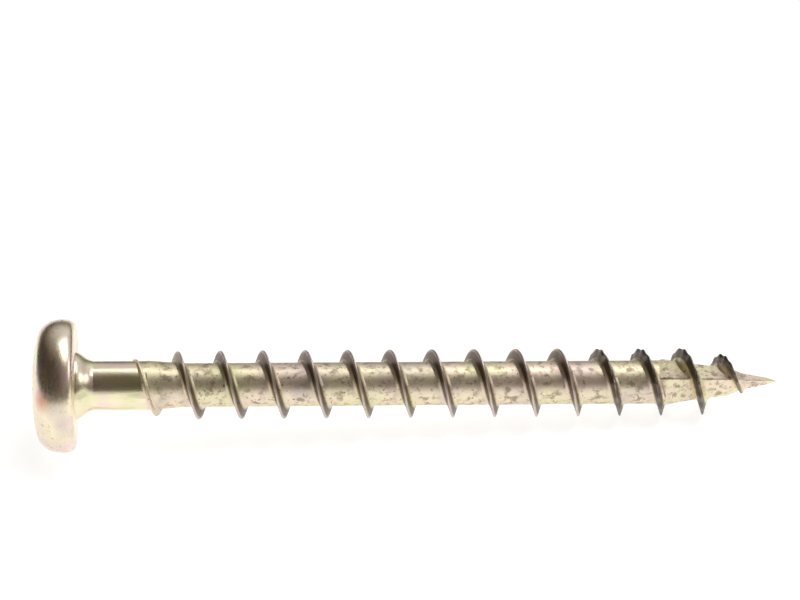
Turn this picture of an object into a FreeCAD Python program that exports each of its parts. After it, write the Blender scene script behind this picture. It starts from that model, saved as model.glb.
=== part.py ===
import FreeCAD, Part
import math
import os

from FreeCAD import Vector

# Wood screw: pan head, six-lobe recess, short plain shank, coarse single-start thread, four-sided point.
#
# Millimetres. The screw's axis is the X axis: the head is at -X, the tip at +X, and x = 0 is the plane of the
# bearing face under the head. The screw lies along X, with +Z up. Angles about the axis are measured from +Y
# towards +Z. The steel is one forging, so the sections below meet face to face and nothing moves.

# Driving dimensions
LENGTH = 50.0              # bearing face to tip
HEAD_D = 9.4               # widest diameter of the head
HEAD_H = 3.1               # bearing face to the crown of the head
SHANK_D = 3.5              # plain shank
CORE_D = 3.1               # core between the turns of the thread
THREAD_D = 4.86            # over the crests
PITCH = 3.0                # single start, right hand
DRIVE_LOBES_D = 3.94       # recess, across the lobe tips
DRIVE_FLUTES_D = 2.84      # recess, across the flutes
DRIVE_DEPTH = 2.0          # straight walls of the recess, from the crown

# Head outline
CROWN_SAG = 0.55           # drop of the crown from the axis to the shoulder
SHOULDER_D = 7.7           # where the crown ends and the rim's round begins
CROWN_R = ((SHOULDER_D / 2) ** 2 + CROWN_SAG ** 2) / (2 * CROWN_SAG)  # the crown is part of a ball
RIM_HIGH = 1.50            # height of the rim's upper edge above the bearing face
RIM_LOW = 0.42             # height of the rim's lower edge
RIM_EDGE_D = HEAD_D - 0.14  # rim at those two edges, which leaves it slightly barrelled
BEARING_D = 8.4            # outer edge of the flat bearing face
SHOULDER_BULGE = 0.089     # how far the shoulder's arc stands out from its chord, along X and outwards
EDGE_BULGE = 0.059         # the same for the rounded edge below the rim
DRIVE_TIP_R = 0.30         # radius of a lobe's tip
DRIVE_FLOOR = 0.55         # depth of the cone below the recess walls
DRIVE_FLOOR_LEDGE = 0.05   # the cone starts this far inside the flutes
DRIVE_FLOOR_END_R = 0.12   # and ends on a small flat of this radius
PUNCH_CLEARANCE = 0.5      # the recess's solid starts this far outside the crown
DRIVE_MOUTH_D = 4.18       # lead-in cone around the recess, where it meets the crown
DRIVE_MOUTH_DEPTH = 0.26   # from there down to the flutes

# Neck and shank
NECK_ROOT_D = 4.8          # neck where it leaves the bearing face
NECK_LENGTH = 1.25
NECK_ROOT_DEPTH = 0.4      # how far the neck's section runs up inside the head
SHANK_END = 5.0            # end of the plain diameter
CORE_START = 7.6           # where the core has come down to its full depth

# Thread
FLANK_ANGLE = 15.0         # each flank, from the plane square to the axis
CREST_WIDTH = 0.12
CREST_X = 4.17             # the crest's centre crosses this x ...
CREST_ANGLE = 68.0         # ... at this angle about the axis
THREAD_START = 4.0
RUN_OUT = 4.0              # length over which the thread grows to its full height
START_HEIGHT = 0.08        # of the crest above the shank at its first trace
SECTIONS_PER_TURN = 24     # points on each of the ridge's four edges, in one turn
BODY_THREAD_END = 40.3     # the point's thread takes over here, clear of the four flats
THREAD_END = 47.8
CREST_FALL_START = 43.6    # crests keep their full height to here, then fall towards the tip
CREST_FALL_POWER = 2.8     # 1 would be a straight fall; more than 1 starts gently and steepens
CREST_END_R = 0.50         # crest at the last trace of the thread
BURIED_SHARE = 0.5         # the point's thread is rooted this share of the way out through the steel
SEWING_TOLERANCE = 1e-4

# Point
POINT_START = 41.3         # the round core ends and the four flats begin
POINT_CORNER_ANGLE = 52.0  # angle about the axis of one corner
# (x, corner's distance from the axis): blank, full-width flats, blunt taper, then a needle
POINT_STATIONS = [
    (POINT_START, 1.58),
    (41.8, 1.72),
    (44.2, 1.32),
    (46.4, 1.07),
    (47.6, 0.60),
    (49.3, 0.27),
    (LENGTH, 0.03),
]
POINT_CORNER_ROUND = 0.09  # corner radius, as a share of the corner's distance from the axis


def axis_point(x, radius, angle):
    """A point at this x, radius and angle in radians about the screw's axis."""
    return Vector(x, radius * math.cos(angle), radius * math.sin(angle))


def line(a, b):
    return Part.LineSegment(a, b).toShape()


def arc(a, middle, b):
    return Part.Arc(a, middle, b).toShape()


def turned(edges):
    """The solid turned about the X axis from edges in the XY plane that start and end on the axis."""
    return Part.Face(Part.Wire(edges)).revolve(Vector(0, 0, 0), Vector(1, 0, 0), 360)


def frustum(x0, x1, r0, r1):
    """A cone or cylinder along +X, from radius r0 at x0 to r1 at x1."""
    if abs(r0 - r1) < 1e-9:
        return Part.makeCylinder(r0, x1 - x0, Vector(x0, 0, 0), Vector(1, 0, 0))
    return Part.makeCone(r0, r1, x1 - x0, Vector(x0, 0, 0), Vector(1, 0, 0))


def between(table, x):
    """Straight-line reading of a table of (x, value) pairs."""
    for (x0, v0), (x1, v1) in zip(table, table[1:]):
        if x <= x1:
            return v0 + (v1 - v0) * max(0.0, x - x0) / (x1 - x0)
    return table[-1][1]


# Head -----------------------------------------------------------------------------------------------

def head_blank():
    """The pan head before its recess: flat bearing face, barrelled rim, rounded shoulder, low crown."""
    crown = Vector(-HEAD_H, 0, 0)
    shoulder = Vector(-(HEAD_H - CROWN_SAG), SHOULDER_D / 2, 0)
    high = Vector(-RIM_HIGH, RIM_EDGE_D / 2, 0)
    widest = Vector(-(RIM_HIGH + RIM_LOW) / 2, HEAD_D / 2, 0)
    low = Vector(-RIM_LOW, RIM_EDGE_D / 2, 0)
    bearing = Vector(0, BEARING_D / 2, 0)
    half = SHOULDER_D / 4
    crown_middle = Vector(-HEAD_H + CROWN_R - math.sqrt(CROWN_R ** 2 - half ** 2), half, 0)
    shoulder_middle = (shoulder + high) * 0.5 + Vector(-SHOULDER_BULGE, SHOULDER_BULGE, 0)
    edge_middle = (low + bearing) * 0.5 + Vector(EDGE_BULGE, EDGE_BULGE, 0)
    return turned([
        line(Vector(0, 0, 0), crown),
        arc(crown, crown_middle, shoulder),
        arc(shoulder, shoulder_middle, high),
        arc(high, widest, low),
        arc(low, edge_middle, bearing),
        line(bearing, Vector(0, 0, 0)),
    ])


def six_lobe_wire(x):
    """The recess outline in the plane at x: six lobe tips joined by six inward-bowed flutes, all tangent."""
    tip_centre = DRIVE_LOBES_D / 2 - DRIVE_TIP_R
    flute_near = DRIVE_FLUTES_D / 2
    cos30 = math.cos(math.radians(30))
    # the flute's radius follows from its being tangent to the tips on both sides
    known = tip_centre ** 2 + flute_near ** 2 - 2 * tip_centre * flute_near * cos30 - DRIVE_TIP_R ** 2
    flute_r = known / (2 * (DRIVE_TIP_R - flute_near + tip_centre * cos30))
    flute_centre = flute_near + flute_r
    edges = []
    for lobe in range(6):
        tip_angle = math.radians(90 + 60 * lobe)
        flute_angle = tip_angle + math.radians(30)
        next_angle = tip_angle + math.radians(60)
        tip = axis_point(x, tip_centre, tip_angle)
        flute = axis_point(x, flute_centre, flute_angle)
        next_tip = axis_point(x, tip_centre, next_angle)
        share = DRIVE_TIP_R / (DRIVE_TIP_R + flute_r)
        leave = tip + (flute - tip) * share
        arrive = next_tip + (flute - next_tip) * share
        before = axis_point(x, flute_centre, tip_angle - math.radians(30))
        enter = tip + (before - tip) * share
        edges.append(arc(enter, axis_point(x, DRIVE_LOBES_D / 2, tip_angle), leave))
        edges.append(arc(leave, axis_point(x, flute_near, flute_angle), arrive))
    return Part.Wire(edges)


def drive_recess():
    """What the punch leaves: six-lobe walls, a conical floor and a lead-in cone at the mouth."""
    mouth = -HEAD_H
    floor = mouth + DRIVE_DEPTH
    outline = Part.Face(six_lobe_wire(mouth - PUNCH_CLEARANCE))
    walls = outline.extrude(Vector(DRIVE_DEPTH + PUNCH_CLEARANCE, 0, 0))
    floor_r = DRIVE_FLUTES_D / 2 - DRIVE_FLOOR_LEDGE
    floor_cone = frustum(floor, floor + DRIVE_FLOOR, floor_r, DRIVE_FLOOR_END_R)
    slope = (DRIVE_MOUTH_D / 2 - DRIVE_FLUTES_D / 2) / DRIVE_MOUTH_DEPTH
    brim = mouth + CROWN_R - math.sqrt(CROWN_R ** 2 - (DRIVE_MOUTH_D / 2) ** 2)
    wide_r = DRIVE_MOUTH_D / 2 + slope * PUNCH_CLEARANCE
    lead_in = frustum(brim - PUNCH_CLEARANCE, brim + DRIVE_MOUTH_DEPTH, wide_r, DRIVE_FLUTES_D / 2)
    return walls.fuse([floor_cone, lead_in])


def make_head():
    socket = frustum(-NECK_ROOT_DEPTH, 0, NECK_ROOT_D / 2, NECK_ROOT_D / 2)
    return head_blank().cut(drive_recess()).cut(socket)


# Neck, shank and core -------------------------------------------------------------------------------

def make_neck():
    root = frustum(-NECK_ROOT_DEPTH, 0, NECK_ROOT_D / 2, NECK_ROOT_D / 2)
    cone = frustum(0, NECK_LENGTH, NECK_ROOT_D / 2, SHANK_D / 2)
    return root.fuse(cone)


def make_plain_shank():
    return frustum(NECK_LENGTH, SHANK_END, SHANK_D / 2, SHANK_D / 2)


def make_threaded_core():
    taper = frustum(SHANK_END, CORE_START, SHANK_D / 2, CORE_D / 2)
    straight = frustum(CORE_START, POINT_START, CORE_D / 2, CORE_D / 2)
    return taper.fuse(straight)


def square_wire(x, corner_r):
    """A square section with rounded corners, its corners at corner_r from the axis."""
    rounding = POINT_CORNER_ROUND * corner_r
    centre_r = corner_r - rounding
    ends = []
    for corner in range(4):
        angle = POINT_CORNER_ANGLE + 90 * corner
        centre = axis_point(x, centre_r, math.radians(angle))
        first, middle, last = (
            centre + axis_point(0, rounding, math.radians(angle + turn)) for turn in (-45, 0, 45)
        )
        ends.append((first, middle, last))
    edges = []
    for corner in range(4):
        first, middle, last = ends[corner]
        edges.append(arc(first, middle, last))
        edges.append(line(last, ends[(corner + 1) % 4][0]))
    return Part.Wire(edges)


def make_point_core():
    return Part.makeLoft([square_wire(x, r) for x, r in POINT_STATIONS], True, True)


# Thread ---------------------------------------------------------------------------------------------

def core_radius(x):
    """Radius of the round steel under the thread."""
    table = [(0, SHANK_D / 2), (SHANK_END, SHANK_D / 2), (CORE_START, CORE_D / 2), (LENGTH, CORE_D / 2)]
    return between(table, x)


def crest_radius(x):
    """Crest of the thread: it grows out of the shank, runs level, and falls away along the point."""
    if x < THREAD_START + RUN_OUT:
        grown = math.sin(math.pi / 2 * (x - THREAD_START) / RUN_OUT)
        low = SHANK_D / 2 + START_HEIGHT
        return low + (THREAD_D / 2 - low) * grown
    if x < CREST_FALL_START:
        return THREAD_D / 2
    fallen = (x - CREST_FALL_START) / (THREAD_END - CREST_FALL_START)
    return THREAD_D / 2 + (CREST_END_R - THREAD_D / 2) * fallen ** CREST_FALL_POWER


def crest_angle(x):
    """Angle about the axis, in radians, at which the crest's centre line crosses x."""
    return math.radians(CREST_ANGLE) + 2 * math.pi * (x - CREST_X) / PITCH


def thread_section(x, root_at):
    """Corners of the ridge's section: root and crest on the head side, then crest and root on the tip side.

    All four share one angle, so on a round core the strip between the two roots is the core's own surface.
    """
    angle = crest_angle(x)
    crest = crest_radius(x)
    half_crest = CREST_WIDTH / 2
    half_root = half_crest + (crest - root_at(x)) * math.tan(math.radians(FLANK_ANGLE))
    return [
        axis_point(x - half_root, root_at(x - half_root), angle),
        axis_point(x - half_crest, crest, angle),
        axis_point(x + half_crest, crest, angle),
        axis_point(x + half_root, root_at(x + half_root), angle),
    ]


def smooth_edge(points):
    curve = Part.BSplineCurve()
    curve.interpolate(points)
    return curve.toShape()


def ridge(x_start, x_end, root_at):
    """One length of the helical ridge, as ruled strips of about half a turn closed by two flat ends."""
    spans = max(1, round((x_end - x_start) / PITCH * 2))
    steps = SECTIONS_PER_TURN // 2
    faces = []
    for span in range(spans):
        xs = [x_start + (x_end - x_start) * (span + step / steps) / spans for step in range(steps + 1)]
        edges = [smooth_edge(path) for path in zip(*(thread_section(x, root_at) for x in xs))]
        faces += [Part.makeRuledSurface(edges[i], edges[(i + 1) % 4], 1) for i in range(4)]
    for x in (x_start, x_end):
        corners = thread_section(x, root_at)
        faces.append(Part.Face(Part.makePolygon(corners + [corners[0]])))
    shell = Part.makeShell(faces)
    shell.sewShape()
    solid = Part.Solid(shell)
    solid.fix(SEWING_TOLERANCE, SEWING_TOLERANCE, SEWING_TOLERANCE)
    if solid.Volume < 0:
        solid.reverse()
    return solid


def make_body_thread():
    return ridge(THREAD_START, BODY_THREAD_END, core_radius)


def buried_root(x):
    """Root of the point's thread inside the point, before it is trimmed to the flats."""
    return BURIED_SHARE * min(CORE_D / 2, between(POINT_STATIONS, x))


def make_point_thread(steel):
    return ridge(BODY_THREAD_END, THREAD_END, buried_root).cut(steel)


# Build and export -----------------------------------------------------------------------------------

def export(name, shape):
    solids = shape.Solids
    print(f"{name}: {len(solids)} solid(s), {shape.Volume:.2f} mm3, valid {shape.isValid()}")
    whole = solids[0] if len(solids) == 1 else Part.makeCompound(solids)
    whole.exportStep(os.path.join("parts", name + ".step"))


def main():
    os.makedirs("parts", exist_ok=True)
    core = make_threaded_core()
    point = make_point_core()
    export("head", make_head())
    export("neck", make_neck())
    export("plain_shank", make_plain_shank())
    export("threaded_core", core)
    export("point_core", point)
    export("body_thread", make_body_thread())
    export("point_thread", make_point_thread(core.fuse(point)))


main()
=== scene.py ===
import math

import bmesh
import bpy
from mathutils import Matrix, Vector


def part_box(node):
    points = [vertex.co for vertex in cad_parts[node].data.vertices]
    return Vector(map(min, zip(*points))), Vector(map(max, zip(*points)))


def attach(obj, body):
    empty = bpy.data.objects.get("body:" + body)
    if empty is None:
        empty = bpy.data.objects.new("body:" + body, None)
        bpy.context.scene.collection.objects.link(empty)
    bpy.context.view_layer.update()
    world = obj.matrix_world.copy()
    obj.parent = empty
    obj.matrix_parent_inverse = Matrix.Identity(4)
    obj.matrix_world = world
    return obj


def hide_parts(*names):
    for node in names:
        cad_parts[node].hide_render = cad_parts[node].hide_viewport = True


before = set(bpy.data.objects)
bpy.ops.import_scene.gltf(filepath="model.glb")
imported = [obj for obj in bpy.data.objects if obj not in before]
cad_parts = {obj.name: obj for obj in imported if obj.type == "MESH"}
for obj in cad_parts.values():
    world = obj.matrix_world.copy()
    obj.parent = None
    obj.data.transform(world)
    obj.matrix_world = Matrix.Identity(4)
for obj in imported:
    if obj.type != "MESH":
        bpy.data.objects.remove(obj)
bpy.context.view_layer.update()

MM = 0.001
TURN = 2 * math.pi

# The screw's own sizes, read from the frame. Its axis is X, and x = 0 is the bearing face under the head.
HEAD_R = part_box("head")[1].y
NECK_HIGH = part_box("neck")[1]
SHANK_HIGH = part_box("plain_shank")[1]
TIP_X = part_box("point_core")[1].x
POINT_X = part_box("point_core")[0].x
NECK_R = NECK_HIGH.z
SHANK_R = SHANK_HIGH.z
CREST_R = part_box("body_thread")[1].y

# Head
CROWN_X = -3.1 * MM          # where the crown would meet the axis
CROWN_SAG = 0.55 * MM
SHOULDER_R = 3.85 * MM
RIM_HIGH_X = -1.50 * MM
RIM_LOW_X = -0.42 * MM
RIM_EDGE_R = HEAD_R - 0.07 * MM
BEARING_R = 4.2 * MM
RIM_BARREL = 0.07 * MM       # how far each arc of the outline stands out from its chord
SHOULDER_BULGE = 0.126 * MM
EDGE_BULGE = 0.083 * MM
RING_LINE_R = 3.15 * MM      # fine turned line on the crown
RING_LINE_WIDTH = 0.05 * MM
RING_LINE_DEPTH = 0.03 * MM
# (share of its width, share of its depth) across the line
RING_LINE_SHAPE = ((1.0, 0.0), (0.4, 0.6), (0.0, 1.0), (-0.4, 0.6), (-1.0, 0.0))
CROWN_RINGS_R = (2.9 * MM, 2.6 * MM, 2.35 * MM)

# Six-lobe recess
LOBE_R = 1.97 * MM
FLUTE_R = 1.42 * MM
LOBE_TIP = 0.30 * MM
MOUTH_R = 2.09 * MM
MOUTH_DEPTH = 0.26 * MM
WALL_DEPTH = 2.0 * MM
FLOOR_DEPTH = 0.5 * MM
EDGE = 0.035 * MM            # softening of the recess's lip
LIP_DROP = 0.004 * MM
LIP_SHAPE = ((-0.4, -1.0), (0.2, -0.25), (1.0, 0.0))  # (depth, inset) of its rings, in shares of EDGE
FLOOR_SHARES = (1.0, 0.75, 0.4, 0.12, 0.0)            # of the way out from the axis

# Neck
NECK_TUCK = 0.02 * MM        # the neck starts this far inside the head
NECK_EASE_X = 0.05 * MM      # its foot is eased off this far down ...
NECK_EASE_R = 0.03 * MM      # ... by this much
NECK_BOW = 0.07              # 0 would be a straight cone
NECK_RINGS = 16

# Core and thread
CORE_R = 1.55 * MM
CORE_FULL_X = 7.6 * MM       # the core is down to its full depth from here
PITCH = 3.0 * MM
CREST_X = 4.17 * MM          # the crest's centre crosses this x ...
CREST_ANGLE = math.radians(68.0)  # ... at this angle from +Y towards +Z
THREAD_START_X = 4.0 * MM
RUN_OUT = 4.0 * MM
START_HEIGHT = 0.08 * MM
BODY_THREAD_END_X = 40.3 * MM
THREAD_END_X = 47.8 * MM
CREST_FALL_X = 43.6 * MM
CREST_FALL_POWER = 2.8
CREST_END_R = 0.50 * MM
CREST_HALF = 0.06 * MM
CREST_ROUND = 0.45           # the crest's flat, as a share of its width below the rounding
RIDGE = CREST_R - CORE_R     # full height of the thread
FLANK = math.tan(math.radians(15.0))
ROOT_FILLET = 0.16 * MM
FILLET_SHARE = 0.16          # the fillet reaches this share of the way up the flank
FULL_FILLET_RIDGE = 0.4 * MM  # lower ridges have a smaller fillet
FLANK_SHARES = (0.0, 0.06, 0.16, 0.4, 0.7, 0.95)  # heights of the section's corners
BURIED = 0.06 * MM           # the ridge is set this far into the core
BURIED_SHARE = -BURIED / RIDGE
BURIED_WIDTH = 0.6           # and is narrower there, as a share of the full foot
LEAST_RIDGE = 0.02 * MM
TEETH = 14                   # serrations in one turn
TEETH_START_X = 36.0 * MM
TOOTH_DEPTH = 0.15 * MM
TOOTH_FULLNESS = 0.7         # under 1 widens the notches
TOOTH_MEAN = 0.80            # teeth differ from one another about this share of the depth ...
TOOTH_SWING = 0.35           # ... by up to this much
TOOTH_BEATS = (2.3, 3.7)     # in waves along the helix that don't match the teeth
STEPS = 15 * TEETH           # sections in one turn

# Point
CORNER_ANGLE = math.radians(52.0)
CORNER_EASE = 0.965          # corners are rounded off at this share of their distance from the axis
# (x, corner's distance from the axis) in millimetres
POINT_SHAPE = [
    (41.3, 1.58),
    (41.8, 1.72),
    (44.2, 1.32),
    (46.4, 1.07),
    (47.6, 0.60),
    (49.3, 0.27),
    (50.0, 0.03),
]

AROUND = 240                 # segments about the axis, a multiple of 24 so that the lobes match
CORE_AROUND = 144            # and about the core and the point
CORE_RINGS = 60
POINT_RINGS = 110
WELD = 1e-7                  # corners closer than this are one corner
SEAM = 2e-6                  # the same where one turn of the thread meets the next
FLOOR_GAP = 0.01 * MM        # keeps the rim from breaking through the floor


# Shape helpers

def between(table, x):
    """Straight-line reading of (x, value) pairs given in millimetres."""
    at = x / MM
    for (x0, v0), (x1, v1) in zip(table, table[1:]):
        if at <= x1:
            return (v0 + (v1 - v0) * max(0.0, at - x0) / (x1 - x0)) * MM
    return table[-1][1] * MM


def arc(a, b, bulge, count):
    """(x, radius) points on the arc from a to b that stands out from its chord by bulge, a excluded."""
    (ax, ar), (bx, br) = a, b
    chord = math.hypot(bx - ax, br - ar)
    radius = (chord ** 2 / 4 + bulge ** 2) / (2 * bulge)
    half = math.asin(min(1.0, chord / 2 / radius))
    ux, ur = (bx - ax) / chord, (br - ar) / chord
    points = []
    for i in range(1, count + 1):
        turn = -half + 2 * half * i / count
        along = chord / 2 + radius * math.sin(turn)
        out = radius * math.cos(turn) - radius + bulge
        points.append((ax + ux * along + ur * out, ar + ur * along - ux * out))
    return points


def finish_piece(name, bm, node, material, sharp=35.0):
    bmesh.ops.remove_doubles(bm, verts=bm.verts, dist=WELD)
    bmesh.ops.recalc_face_normals(bm, faces=bm.faces)
    mesh = bpy.data.meshes.new(name)
    bm.to_mesh(mesh)
    bm.free()
    mesh.shade_smooth()
    mesh.set_sharp_from_angle(angle=math.radians(sharp))
    piece = bpy.data.objects.new(name, mesh)
    bpy.context.scene.collection.objects.link(piece)
    mesh.materials.append(material)
    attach(piece, "root")
    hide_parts(node)
    return piece


def turned(outline, steps=AROUND):
    """The skin spun about the X axis from an outline of (x, radius) points."""
    bm = bmesh.new()
    points = [bm.verts.new((x, r, 0.0)) for x, r in outline]
    lines = [bm.edges.new(pair) for pair in zip(points, points[1:])]
    bmesh.ops.spin(bm, geom=points + lines, cent=(0, 0, 0), axis=(1, 0, 0), dvec=(0, 0, 0), angle=TURN,
                   steps=steps, use_merge=True, use_duplicate=False)
    bmesh.ops.remove_doubles(bm, verts=bm.verts, dist=WELD)
    return bm


def corners_in(geom):
    return [item for item in geom if isinstance(item, bmesh.types.BMVert)]


def send(corners, place):
    """Move each corner, keeping its angle about the axis, to place(angle), which is (x, radius)."""
    for corner in corners:
        angle = math.atan2(corner.co.z, corner.co.y)
        x, r = place(angle)
        corner.co = (x, r * math.cos(angle), r * math.sin(angle))


def push_rim(bm, rim, place):
    """Extrude an open rim, send its new corners to place(angle), and return the new rim."""
    made = bmesh.ops.extrude_edge_only(bm, edges=rim)["geom"]
    send(corners_in(made), place)
    return [item for item in made if isinstance(item, bmesh.types.BMEdge) and item.is_boundary]


def plain(x, r):
    return lambda angle: (x, r)


# Head

def six_lobe(angle):
    """Distance from the axis to the recess's wall: round lobe tips joined by flutes tangent to them."""
    tip = LOBE_R - LOBE_TIP
    known = tip ** 2 + FLUTE_R ** 2 - 2 * tip * FLUTE_R * math.cos(TURN / 12) - LOBE_TIP ** 2
    bow = known / (2 * (LOBE_TIP - FLUTE_R + tip * math.cos(TURN / 12)))
    flute = FLUTE_R + bow
    off = abs((angle - TURN / 4 + TURN / 12) % (TURN / 6) - TURN / 12)
    # the two arcs meet on the line between their centres
    share = LOBE_TIP / (LOBE_TIP + bow)
    meet = Vector((tip, 0)).lerp(Vector((flute * math.cos(TURN / 12), flute * math.sin(TURN / 12))), share)
    if off <= math.atan2(meet.y, meet.x):
        return tip * math.cos(off) + math.sqrt(max(0.0, LOBE_TIP ** 2 - (tip * math.sin(off)) ** 2))
    other = TURN / 12 - off
    return flute * math.cos(other) - math.sqrt(max(0.0, bow ** 2 - (flute * math.sin(other)) ** 2))


def crown_x(r):
    ball = (SHOULDER_R ** 2 + CROWN_SAG ** 2) / (2 * CROWN_SAG)
    return CROWN_X + ball - math.sqrt(ball ** 2 - r ** 2)


def lead_in_x(r):
    return crown_x(MOUTH_R) + MOUTH_DEPTH * (MOUTH_R - r) / (MOUTH_R - FLUTE_R)


def make_head(material):
    start = (0.0, BEARING_R)
    outline = [start]
    outline += arc(start, (RIM_LOW_X, RIM_EDGE_R), EDGE_BULGE, 8)
    outline += arc(outline[-1], (RIM_HIGH_X, RIM_EDGE_R), RIM_BARREL, 12)
    outline += arc(outline[-1], (CROWN_X + CROWN_SAG, SHOULDER_R), SHOULDER_BULGE, 16)
    outline += [(crown_x(r), r) for r in (SHOULDER_R - 0.15 * MM, SHOULDER_R - 0.4 * MM)]
    for side, drop in RING_LINE_SHAPE:
        r = RING_LINE_R + side * RING_LINE_WIDTH
        outline.append((crown_x(r) + drop * RING_LINE_DEPTH, r))
    outline += [(crown_x(r), r) for r in CROWN_RINGS_R + (MOUTH_R + EDGE,)]
    outline += [(lead_in_x(MOUTH_R) + LIP_DROP, MOUTH_R), (lead_in_x(MOUTH_R - EDGE), MOUTH_R - EDGE)]
    bm = turned([(0.0, 0.0), (0.0, NECK_R)] + outline)
    floor_x = CROWN_X + WALL_DEPTH

    def wall(depth, inset):
        return lambda angle: (lead_in_x(six_lobe(angle)) + depth, six_lobe(angle) - inset)

    def floor(share):
        return lambda angle: (floor_x + FLOOR_DEPTH * (1 - share), six_lobe(angle) * share)

    rim = [edge for edge in bm.edges if edge.is_boundary]
    for depth, inset in LIP_SHAPE:
        rim = push_rim(bm, rim, wall(depth * EDGE, inset * EDGE))
    for share in FLOOR_SHARES:
        rim = push_rim(bm, rim, floor(share))
    return finish_piece("pan_head", bm, "head", material)


# Neck, shank, core

def make_neck(material):
    fall = NECK_R - SHANK_R
    outline = [(-NECK_TUCK, 0.0), (-NECK_TUCK, NECK_R), (NECK_EASE_X, NECK_R - NECK_EASE_R)]
    for i in range(1, NECK_RINGS + 1):
        share = i / NECK_RINGS
        eased = share - NECK_BOW * math.sin(TURN * share)
        outline.append((NECK_HIGH.x * share, SHANK_R + fall * (1 - eased)))
    outline.append((NECK_HIGH.x, 0.0))
    return finish_piece("neck_cone", turned(outline), "neck", material, sharp=50)


def make_shank(material):
    outline = [(NECK_HIGH.x, 0.0), (NECK_HIGH.x, SHANK_R), (SHANK_HIGH.x, SHANK_R), (SHANK_HIGH.x, 0.0)]
    return finish_piece("shank", turned(outline), "plain_shank", material, sharp=60)


def core_radius(x):
    fallen = min(1.0, max(0.0, (x - SHANK_HIGH.x) / (CORE_FULL_X - SHANK_HIGH.x)))
    return SHANK_R + (CORE_R - SHANK_R) * fallen


def make_core(material):
    outline = [(SHANK_HIGH.x, 0.0)]
    for i in range(CORE_RINGS + 1):
        x = SHANK_HIGH.x + (POINT_X - SHANK_HIGH.x) * i / CORE_RINGS
        outline.append((x, core_radius(x)))
    outline.append((POINT_X, 0.0))
    bm = turned(outline, CORE_AROUND)
    return finish_piece("rolled_core", bm, "threaded_core", material, sharp=60)


# Point

def square_radius(x, angle):
    """Distance from the axis to the four-sided point, with its corners eased off."""
    corner = between(POINT_SHAPE, x)
    off = (angle - CORNER_ANGLE + TURN / 8) % (TURN / 4) - TURN / 8
    flat = corner * math.cos(TURN / 8) / math.cos(TURN / 8 - abs(off))
    return min(flat, corner * CORNER_EASE)


def make_point(material):
    """Drawn out ring by ring from a round blank, ending in a single corner at the tip."""
    bm = bmesh.new()
    blank = bmesh.ops.create_circle(bm, cap_ends=False, segments=CORE_AROUND, radius=CORE_R)["verts"]
    bmesh.ops.rotate(bm, verts=blank, cent=(0, 0, 0), matrix=Matrix.Rotation(TURN / 4, 3, "Y"))

    def square(x):
        return lambda angle: (x, square_radius(x, angle))

    send(blank, square(POINT_X))
    rim = bm.edges[:]
    push_rim(bm, rim, plain(POINT_X, 0.0))
    for i in range(1, POINT_RINGS + 1):
        rim = push_rim(bm, rim, square(POINT_X + (TIP_X - POINT_X) * i / POINT_RINGS))
    push_rim(bm, rim, plain(TIP_X, 0.0))
    return finish_piece("forged_point", bm, "point_core", material, sharp=24)


# Thread

def crest_radius(x):
    if x < THREAD_START_X + RUN_OUT:
        low = SHANK_R + START_HEIGHT
        return low + (CREST_R - low) * math.sin(TURN / 4 * max(0.0, x - THREAD_START_X) / RUN_OUT)
    if x < CREST_FALL_X:
        return CREST_R
    fallen = min(1.0, (x - CREST_FALL_X) / (THREAD_END_X - CREST_FALL_X))
    return CREST_R + (CREST_END_R - CREST_R) * fallen ** CREST_FALL_POWER


def tooth(x, angle):
    """Drop of the crest at a serration, growing in over half a turn."""
    grown = min(1.0, max(0.0, (x - TEETH_START_X) / (PITCH / 2)))
    wave = 0.5 - 0.5 * math.cos(TEETH * angle)
    slow, fast = TOOTH_BEATS
    uneven = TOOTH_MEAN + TOOTH_SWING * math.sin(slow * angle) * math.sin(fast * angle + 1.0)
    return TOOTH_DEPTH * grown * uneven * wave ** TOOTH_FULLNESS * crest_radius(x) / CREST_R


def crest_angle(x):
    return CREST_ANGLE + TURN * (x - CREST_X) / PITCH


def section_x(place):
    """x of the crest's centre line at a place's own angle about the axis, on the turn nearest to it."""
    lead = CREST_X + PITCH * (math.atan2(place.z, place.y) - CREST_ANGLE) / TURN
    return lead + PITCH * round((place.x - lead) / PITCH)


def ridge_half(share, ridge):
    """Half the ridge's width at a share of its height: straight flanks, filleted at the foot."""
    if share < BURIED_SHARE / 2:
        return CREST_HALF + ridge * FLANK * BURIED_WIDTH
    fillet = ROOT_FILLET * max(0.0, 1 - share / FILLET_SHARE) ** 2 * min(1.0, ridge / FULL_FILLET_RIDGE)
    return CREST_HALF + ridge * (1 - share) * FLANK + fillet


def thread_section():
    """(x, radius) corners of a full-height section, up one flank, over a rounded crest and down the other."""
    flank = [(ridge_half(share, RIDGE), share) for share in (BURIED_SHARE,) + FLANK_SHARES]
    flank.append((CREST_HALF * CREST_ROUND, 1.0))
    tip_side = [(half, CORE_R + RIDGE * share) for half, share in flank]
    return [(-half, r) for half, r in tip_side] + tip_side[::-1]


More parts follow.
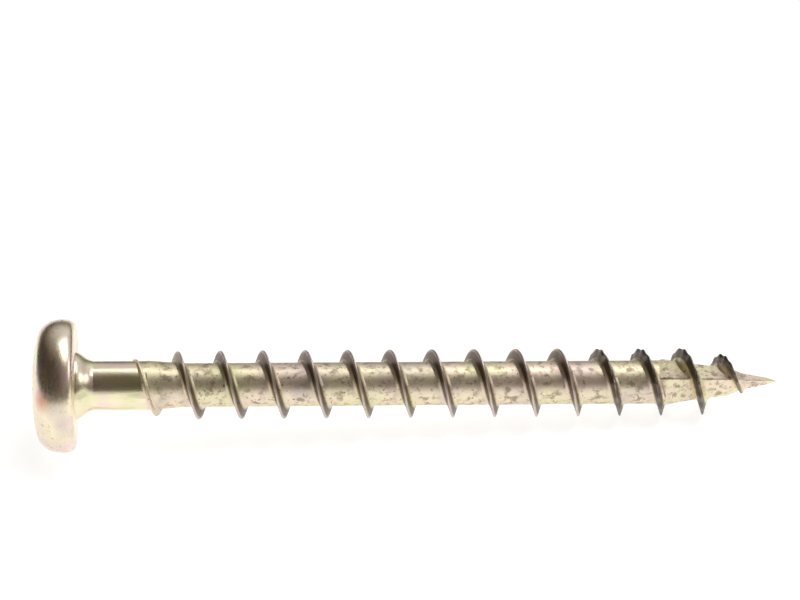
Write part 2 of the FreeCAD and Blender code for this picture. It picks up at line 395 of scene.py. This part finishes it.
def even_helix(x_start, x_end):
    """The section spun along the helix at full height: one turn, copied along and cut off at x_end.

    The turns are made and joined about x = 0, where rounding is least, and moved to x_start afterwards.
    """
    bm = bmesh.new()
    corners = [bm.verts.new((x, r, 0.0)) for x, r in thread_section()]
    lines = [bm.edges.new((corner, corners[i - 1])) for i, corner in enumerate(corners)]
    bmesh.ops.rotate(bm, verts=corners, cent=(0, 0, 0), matrix=Matrix.Rotation(crest_angle(x_start), 3, "X"))
    bmesh.ops.spin(bm, geom=corners + lines, cent=(0, 0, 0), axis=(1, 0, 0), dvec=(PITCH / STEPS, 0, 0),
                   angle=TURN, steps=STEPS, use_merge=False, use_duplicate=False)
    first_turn = bm.verts[:] + bm.edges[:] + bm.faces[:]
    for turn in range(1, math.ceil((x_end - x_start) / PITCH)):
        copied = bmesh.ops.duplicate(bm, geom=first_turn)["geom"]
        bmesh.ops.translate(bm, verts=corners_in(copied), vec=(turn * PITCH, 0, 0))
    bmesh.ops.remove_doubles(bm, verts=bm.verts, dist=SEAM)
    bmesh.ops.translate(bm, verts=bm.verts, vec=(x_start, 0, 0))
    beyond = [corner for corner in bm.verts if section_x(corner.co) > x_end + PITCH / STEPS / 2]
    bmesh.ops.delete(bm, geom=beyond, context="VERTS")
    return bm


def make_thread(name, node, x_start, x_end, material):
    """The even helix, let down to the local root and crest, serrated near the point, its ends closed."""
    bm = even_helix(x_start, x_end)
    for corner in bm.verts:
        x = section_x(corner.co)
        angle = crest_angle(x)
        share = (math.hypot(corner.co.y, corner.co.z) - CORE_R) / RIDGE
        side = (corner.co.x - x) / ridge_half(share, RIDGE)
        crest = crest_radius(x)
        under = square_radius(x, angle) if x > POINT_X else core_radius(x)
        under = min(under, crest - LEAST_RIDGE)
        ridge = crest - under
        radius = under + (ridge - tooth(x, angle)) * share
        if share < BURIED_SHARE / 2:
            radius = max(LEAST_RIDGE, under - BURIED)
        across = ridge_half(share, ridge) * side
        corner.co = (x + across, radius * math.cos(angle), radius * math.sin(angle))
    bmesh.ops.holes_fill(bm, edges=[edge for edge in bm.edges if edge.is_boundary], sides=0)
    return finish_piece(name, bm, node, material, sharp=40)


# Materials

class Value:
    """A number socket, so that shader maths reads as ordinary expressions."""

    def __init__(self, nodes, socket):
        self.nodes, self.socket = nodes, socket

    def math(self, operation, *others, clamp=False):
        sockets = {i + 1: other for i, other in enumerate(others)}
        settings = {"operation": operation, "use_clamp": clamp}
        return self.nodes.add("ShaderNodeMath", settings, {0: self, **sockets})

    def flipped(self, operation, other):
        return self.nodes.add("ShaderNodeMath", {"operation": operation}, {0: other, 1: self})

    def __add__(self, other):
        return self.math("ADD", other)

    def __radd__(self, other):
        return self.math("ADD", other)

    def __sub__(self, other):
        return self.math("SUBTRACT", other)

    def __rsub__(self, other):
        return self.flipped("SUBTRACT", other)

    def __mul__(self, other):
        return self.math("MULTIPLY", other)

    def __rmul__(self, other):
        return self.math("MULTIPLY", other)

    def __truediv__(self, other):
        return self.math("DIVIDE", other)

    def clamp(self):
        return self.math("ADD", 0.0, clamp=True)

    def band(self, low, high):
        """0 below low, 1 above high, straight between."""
        return ((self - low) / (high - low)).clamp()


class Nodes:
    def __init__(self, name, tree=None):
        self.tree = tree
        if tree is None:
            self.material = bpy.data.materials.new(name)
            self.material.use_nodes = True
            self.tree = self.material.node_tree
            self.shader = next(n for n in self.tree.nodes if n.type == "BSDF_PRINCIPLED")
            self.place = self.raw("ShaderNodeTexCoord").outputs["Object"]

    def raw(self, kind, settings=None, inputs=None):
        node = self.tree.nodes.new(kind)
        for key, setting in (settings or {}).items():
            setattr(node, key, setting)
        for key, value in (inputs or {}).items():
            self.feed(node.inputs[key], value)
        return node

    def feed(self, socket, value):
        if isinstance(value, Value):
            value = value.socket
        if isinstance(value, bpy.types.NodeSocket):
            self.tree.links.new(value, socket)
        else:
            socket.default_value = value

    def add(self, kind, settings=None, inputs=None, output=0):
        return Value(self, self.raw(kind, settings, inputs).outputs[output])

    def noise(self, scale, detail=3.0, stretch=(1, 1, 1), shift=(0, 0, 0)):
        places = {"Vector": self.place, "Scale": stretch, "Location": shift}
        moved = self.raw("ShaderNodeMapping", None, places).outputs[0]
        grain = {"Vector": moved, "Scale": scale, "Detail": detail, "Roughness": 0.55}
        return self.add("ShaderNodeTexNoise", None, grain)

    def mix(self, factor, a, b):
        node = self.raw("ShaderNodeMix", {"data_type": "RGBA"})
        for socket, value in ((node.inputs[0], factor), (node.inputs[6], a), (node.inputs[7], b)):
            self.feed(socket, value)
        return node.outputs[2]

    def axes(self):
        split = self.raw("ShaderNodeSeparateXYZ", None, {"Vector": self.place})
        return [Value(self, split.outputs[i]) for i in range(3)]


GOLD = (0.91, 0.82, 0.60, 1)
OLIVE = (0.75, 0.76, 0.43, 1)
PINK = (0.88, 0.69, 0.63, 1)
VIOLET = (0.50, 0.42, 0.46, 1)
BROWN = (0.20, 0.135, 0.08, 1)
COPPER = (0.62, 0.30, 0.20, 1)
RECESS_SHADE_BLACK = (0.035, 0.028, 0.024, 1)
SHADOW_BROWN = (0.12, 0.082, 0.05, 1)
TOOTH_GREY = (0.11, 0.095, 0.08, 1)

# Where the finishes and the painted shade and reflections change: each pair is where a change starts and
# where it is complete
RECESS_DARK_R = (1.7 * MM, 2.1 * MM)       # painted shade in the recess, out from the axis
RECESS_DARK_X = (-2.9 * MM, -2.1 * MM)     # and down into it
BLUSH_PLACE = (-2.25 * MM, -4.3 * MM, 1.2 * MM)  # a copper-red patch of thin plate on the shoulder
BLUSH_FADE = (0.4 * MM, 1.3 * MM)          # out from its middle
BLUSH_RAGGED = 0.5 * MM
MARKED_LAP = (0.15, 0.75)                  # rolling marks, out from midway between two turns
# painted shade on the thread's flanks:
FLANK_SHADE_R = (1.60 * MM, 1.80 * MM)      # flanks turn dark above the core ...
FLANK_SHADE_X = (5.2 * MM, 7.5 * MM)        # ... once the thread has left the shank ...
FLANK_CLEAR_R = (2.25 * MM, 2.40 * MM)     # ... and clear again towards the crest
# painted dark reflection: the crests are turned violet-grey
CREST_REFLECTION_R = (2.15 * MM, 2.40 * MM)
TOOTH_SHADE_R = (1.75 * MM, 2.05 * MM)            # painted shade and dark reflection on the cut teeth, above the core
TOOTH_SHADE_X = (35.5 * MM, 38.5 * MM)            # from where the teeth begin
TOOTH_SHADE_FALL = 0.26                           # its lower edge follows the falling crest


def passivated(nodes, tint_scale, pink=0.70, olive=0.75):
    """Base colour of yellow-passivated zinc: champagne with drifts of olive, pink and violet."""
    drift = nodes.noise(tint_scale, 2.0)
    second = nodes.noise(tint_scale * 1.7, 2.0, shift=(0.3, 0.1, 0.7))
    colour = nodes.mix(drift.band(0.48, 0.68) * olive, GOLD, OLIVE)
    colour = nodes.mix(second.band(0.42, 0.66) * pink, colour, PINK)
    return nodes.mix(drift.band(0.46, 0.30) * 0.45, colour, VIOLET)


def set_metal(nodes, colour, rough, height, bump):
    shader = nodes.shader
    shader.inputs["Metallic"].default_value = 1.0
    nodes.feed(shader.inputs["Base Color"], colour)
    nodes.feed(shader.inputs["Roughness"], rough)
    made = nodes.raw("ShaderNodeBump", None, {"Height": height, "Strength": bump, "Distance": 0.02 * MM})
    nodes.tree.links.new(made.outputs[0], shader.inputs["Normal"])


def head_metal():
    nodes = Nodes("plated head")
    x, y, z = nodes.axes()
    radius = (y * y + z * z).math("SQRT")
    pits = nodes.noise(2600, 4)
    turned = nodes.noise(900, 3, stretch=(6, 1, 1))
    colour = passivated(nodes, 260, pink=0.95)
    inside = 1 - radius.band(*RECESS_DARK_R)
    deep = x.band(*RECESS_DARK_X)
    # painted shade: the recess turns near black deep down
    colour = nodes.mix(inside * deep * 0.93, colour, RECESS_SHADE_BLACK)
    colour = nodes.mix(pits.band(0.60, 0.74) * 0.45, colour, BROWN)
    along, across, over = (axis - middle for axis, middle in zip((x, y, z), BLUSH_PLACE))
    squares = along * along + across * across + over * over
    blush = 1 - (squares.math("SQRT") + BLUSH_RAGGED * pits).band(*BLUSH_FADE)
    colour = nodes.mix(blush * 0.85, colour, COPPER)
    rough = 0.20 + 0.16 * turned + 0.15 * pits.band(0.55, 0.75)
    set_metal(nodes, colour, rough, pits * 0.5 + turned * 0.5, 0.35)
    return nodes.material


def shank_metal():
    nodes = Nodes("plated shank")
    drawn = nodes.noise(1500, 3, stretch=(0.15, 1, 1))
    pits = nodes.noise(3000, 3)
    colour = passivated(nodes, 330)
    colour = nodes.mix(drawn.band(0.56, 0.75) * 0.35, colour, BROWN)
    set_metal(nodes, colour, 0.18 + 0.16 * drawn, drawn * 0.6 + pits * 0.4, 0.35)
    return nodes.material


def thread_metal():
    """Rolled metal: brown marks between the turns, painted shade on the flanks, painted shade and dark
    reflection on the cut teeth near the point, and a painted dark reflection on the crests.
    """
    nodes = Nodes("plated thread")
    x, y, z = nodes.axes()
    radius = (y * y + z * z).math("SQRT")
    turn = z.math("ARCTAN2", y) / TURN
    lap = ((x - CREST_X) / PITCH - turn + CREST_ANGLE / TURN).math("FRACT")
    middle = 1 - ((lap - 0.5).math("ABSOLUTE") * 2.0).band(*MARKED_LAP)
    blots = nodes.noise(2300, 5, stretch=(0.8, 1, 1))
    fine = nodes.noise(4200, 4)
    colour = passivated(nodes, 300, pink=0.60, olive=0.50)
    marks = middle * blots.band(0.50, 0.62)
    colour = nodes.mix(marks * 0.60, colour, BROWN)
    colour = nodes.mix(fine.band(0.60, 0.68) * 0.70, colour, BROWN)
    # painted shade down the thread's flanks
    flank = radius.band(*FLANK_SHADE_R) * x.band(*FLANK_SHADE_X)
    colour = nodes.mix(flank * (1 - radius.band(*FLANK_CLEAR_R)) * 0.95, colour, SHADOW_BROWN)
    # painted dark reflection on the crests, in violet-grey
    colour = nodes.mix(radius.band(*CREST_REFLECTION_R) * 0.55, colour, VIOLET)
    # painted shade and dark reflection on the cut teeth near the point
    falling = ((x - CREST_FALL_X) * TOOTH_SHADE_FALL).math("MAXIMUM", 0.0)
    tooth_shade = (radius + falling).band(*TOOTH_SHADE_R) * x.band(*TOOTH_SHADE_X)
    colour = nodes.mix(tooth_shade * 0.78, colour, TOOTH_GREY)
    rough = 0.34 + 0.28 * blots - 0.08 * flank
    set_metal(nodes, colour, rough, blots * 0.6 + fine * 0.4, 0.6)
    return nodes.material


# Camera, floor and light

def make_camera():
    aim = Vector((22.62, 0.0, 6.71)) * MM
    distance = 166.37 * MM
    turn = math.radians(-5.27)
    lift = math.radians(27.5)
    roll = math.radians(2.205)
    back = Vector((math.sin(turn) * math.cos(lift), -math.cos(turn) * math.cos(lift), math.sin(lift)))
    camera = bpy.data.cameras.new("camera")
    camera.sensor_width = 36.0
    camera.lens = 107.3
    camera.clip_start = 0.005
    body = bpy.data.objects.new("camera", camera)
    bpy.context.scene.collection.objects.link(body)
    facing = back.to_track_quat("Z", "Y").to_matrix().to_4x4()
    body.matrix_world = Matrix.Translation(aim + back * distance) @ facing @ Matrix.Rotation(roll, 4, "Z")
    bpy.context.scene.camera = body


def make_floor():
    """A pale floor that touches the head's rim and the last full crests of the lying screw."""
    rim_x, crest_x = -1.2 * MM, 42.0 * MM
    lean = math.atan2(HEAD_R - CREST_R, crest_x - rim_x)
    bm = bmesh.new()
    bmesh.ops.create_grid(bm, x_segments=2, y_segments=2, size=1.5)
    bmesh.ops.rotate(bm, verts=bm.verts, matrix=Matrix.Rotation(-lean, 3, "Y"))
    bmesh.ops.translate(bm, verts=bm.verts, vec=(rim_x, 0, -(HEAD_R + FLOOR_GAP) / math.cos(lean)))
    mesh = bpy.data.meshes.new("floor")
    bm.to_mesh(mesh)
    bm.free()
    floor = bpy.data.objects.new("floor", mesh)
    bpy.context.scene.collection.objects.link(floor)
    nodes = Nodes("pale floor")
    nodes.shader.inputs["Base Color"].default_value = (0.55, 0.55, 0.55, 1)
    nodes.shader.inputs["Roughness"].default_value = 0.9
    nodes.shader.inputs["Specular IOR Level"].default_value = 0.1
    nodes.shader.inputs["Emission Color"].default_value = (1, 1, 1, 1)
    nodes.shader.inputs["Emission Strength"].default_value = 0.82
    mesh.materials.append(nodes.material)


def softbox(name, place, aim, size, power):
    light = bpy.data.lights.new(name, "AREA")
    light.shape = "RECTANGLE"
    light.size, light.size_y = size
    light.energy = power
    body = bpy.data.objects.new(name, light)
    bpy.context.scene.collection.objects.link(body)
    facing = (Vector(place) - Vector(aim)).to_track_quat("Z", "Y").to_matrix().to_4x4()
    body.matrix_world = Matrix.Translation(Vector(place)) @ facing


def make_light():
    aim = (0.025, 0, 0)
    softbox("overhead softbox", (0.17, 0.08, 0.60), aim, (0.46, 0.30), 1.05)
    softbox("right softbox", (0.62, -0.10, 0.35), aim, (0.30, 0.30), 0.42)
    world = bpy.data.worlds.new("studio")
    world.use_nodes = True
    bpy.context.scene.world = world
    nodes = Nodes("", world.node_tree)
    direction = nodes.raw("ShaderNodeTexCoord").outputs["Generated"]
    split = nodes.raw("ShaderNodeSeparateXYZ", None, {"Vector": direction})
    east, north, up = (Value(nodes, split.outputs[i]) for i in range(3))
    behind = north.band(-0.25, 0.85)
    high = up.band(0.20, 0.62)
    right = east.band(-0.72, -0.20)
    base = 0.055 + 0.06 * east.band(-0.4, 0.1)
    glow = base + 0.60 * behind * high * right + 0.34 * high * east.band(0.0, 0.8)
    seen = Value(nodes, nodes.raw("ShaderNodeLightPath").outputs["Is Camera Ray"])
    nodes.feed(nodes.tree.nodes["Background"].inputs["Strength"], glow * (1 - seen) + 0.97 * seen)
    tone = nodes.mix(glow.band(0.10, 0.45), (1.0, 0.80, 0.60, 1), (1.0, 0.99, 0.98, 1))
    nodes.feed(nodes.tree.nodes["Background"].inputs["Color"], nodes.mix(seen, tone, (1.0, 1.0, 1.0, 1)))
    bpy.context.scene.view_settings.view_transform = "Standard"


make_camera()
head_finish = head_metal()
shank_finish = shank_metal()
thread_finish = thread_metal()
make_head(head_finish)
make_neck(shank_finish)
make_shank(shank_finish)
make_core(thread_finish)
make_point(thread_finish)
make_thread("main_thread", "body_thread", THREAD_START_X, BODY_THREAD_END_X, thread_finish)
make_thread("tip_thread", "point_thread", BODY_THREAD_END_X, THREAD_END_X, thread_finish)
make_floor()
make_light()
